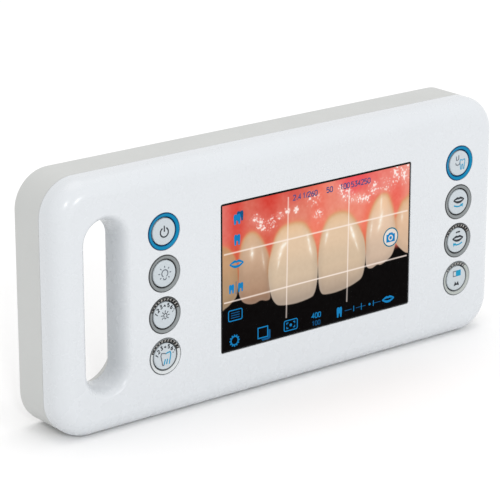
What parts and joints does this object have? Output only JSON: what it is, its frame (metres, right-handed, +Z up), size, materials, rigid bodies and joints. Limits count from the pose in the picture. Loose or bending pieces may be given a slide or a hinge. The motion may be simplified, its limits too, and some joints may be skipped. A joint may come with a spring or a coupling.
{
  "type": "dental camera pad",
  "caption": "Hand-held dental camera pad: slab housing with handle slot, touch display, key columns and rear lens with lights.",
  "frame": {"origin": "centre of the bounding box at the bottom edge that the pad stands on", "axes": "+X to the right as seen from the display side, +Y into the pad from the display towards the lens side, +Z up"},
  "size_m": [0.25, 0.0322, 0.115],
  "materials": {
    "white_plastic": "satin injection-moulded",
    "grey_plastic": "fine moulded texture",
    "blue_ring": "satin",
    "grey_ring": "satin",
    "pale_ring": "satin",
    "key_cap": "soft satin film",
    "cover_glass": "polished, black printed border",
    "black_rubber": "matt foam tape",
    "lcd": "lit picture",
    "steel": "plated",
    "silicone": "matt silicone",
    "circuit_board": "solder mask",
    "flex_film": "polyimide film",
    "black_plastic": "fine moulded texture",
    "battery_wrap": "shrink film",
    "lens_glass": "coated and polished",
    "sensor": "glass-topped chip",
    "aluminium": "anodised",
    "diffuser": "frosted",
    "led": "phosphor dome"
  },
  "bodies": {
    "pad": {"front_housing": "white_plastic", "rear_housing": "grey_plastic", "housing_screw_1": "steel", "housing_screw_2": "steel", "housing_screw_3": "steel", "housing_screw_4": "steel", "housing_screw_5": "steel", "housing_screw_6": "steel", "touch_glass": "cover_glass", "glass_seal": "black_rubber", "lcd_panel": "lcd", "display_tray": "steel", "left_key_ring_1": "blue_ring", "left_key_ring_2": "grey_ring", "left_key_ring_3": "grey_ring", "left_key_ring_4": "pale_ring", "left_key_mat": "silicone", "left_key_board": "circuit_board", "right_key_ring_1": "blue_ring", "right_key_ring_2": "grey_ring", "right_key_ring_3": "grey_ring", "right_key_ring_4": "pale_ring", "right_key_mat": "silicone", "right_key_board": "circuit_board", "main_board": "circuit_board", "processor_shield": "steel", "battery_tray": "black_plastic", "battery_pack": "battery_wrap", "left_key_cable": "flex_film", "right_key_cable": "flex_film", "camera_cable": "flex_film", "display_cable": "flex_film", "battery_cable": "flex_film", "socket_cable": "flex_film", "charge_socket": "black_plastic", "camera_board": "circuit_board", "image_sensor": "sensor", "infrared_filter": "lens_glass", "lens_barrel": "black_plastic", "camera_bracket": "aluminium", "lens_bezel": "black_plastic", "lens_window": "lens_glass", "left_light_board": "aluminium", "left_light_led": "led", "left_light_window": "diffuser", "right_light_board": "aluminium", "right_light_led": "led", "right_light_window": "diffuser"},
    "focus_group": {"focus_carrier": "aluminium", "rear_lens": "lens_glass", "front_lens": "lens_glass", "lens_retainer": "black_plastic"},
    "left_key_1": {"left_key_cap_1": "key_cap"},
    "left_key_2": {"left_key_cap_2": "key_cap"},
    "left_key_3": {"left_key_cap_3": "key_cap"},
    "left_key_4": {"left_key_cap_4": "key_cap"},
    "right_key_1": {"right_key_cap_1": "key_cap"},
    "right_key_2": {"right_key_cap_2": "key_cap"},
    "right_key_3": {"right_key_cap_3": "key_cap"},
    "right_key_4": {"right_key_cap_4": "key_cap"}
  },
  "joints": [
    {"name": "left_key_press_1", "type": "slide", "parent": "pad", "child": "left_key_1", "axis": [0, 1, 0], "range_m": [0, 0.0008], "stiffness_N_per_m": 600},
    {"name": "left_key_press_2", "type": "slide", "parent": "pad", "child": "left_key_2", "axis": [0, 1, 0], "range_m": [0, 0.0008], "stiffness_N_per_m": 600},
    {"name": "left_key_press_3", "type": "slide", "parent": "pad", "child": "left_key_3", "axis": [0, 1, 0], "range_m": [0, 0.0008], "stiffness_N_per_m": 600},
    {"name": "left_key_press_4", "type": "slide", "parent": "pad", "child": "left_key_4", "axis": [0, 1, 0], "range_m": [0, 0.0008], "stiffness_N_per_m": 600},
    {"name": "right_key_press_1", "type": "slide", "parent": "pad", "child": "right_key_1", "axis": [0, 1, 0], "range_m": [0, 0.0008], "stiffness_N_per_m": 600},
    {"name": "right_key_press_2", "type": "slide", "parent": "pad", "child": "right_key_2", "axis": [0, 1, 0], "range_m": [0, 0.0008], "stiffness_N_per_m": 600},
    {"name": "right_key_press_3", "type": "slide", "parent": "pad", "child": "right_key_3", "axis": [0, 1, 0], "range_m": [0, 0.0008], "stiffness_N_per_m": 600},
    {"name": "right_key_press_4", "type": "slide", "parent": "pad", "child": "right_key_4", "axis": [0, 1, 0], "range_m": [0, 0.0008], "stiffness_N_per_m": 600},
    {"name": "focus_slide", "type": "slide", "parent": "pad", "child": "focus_group", "axis": [0, 1, 0], "range_m": [0, 0.002]}
  ]
}
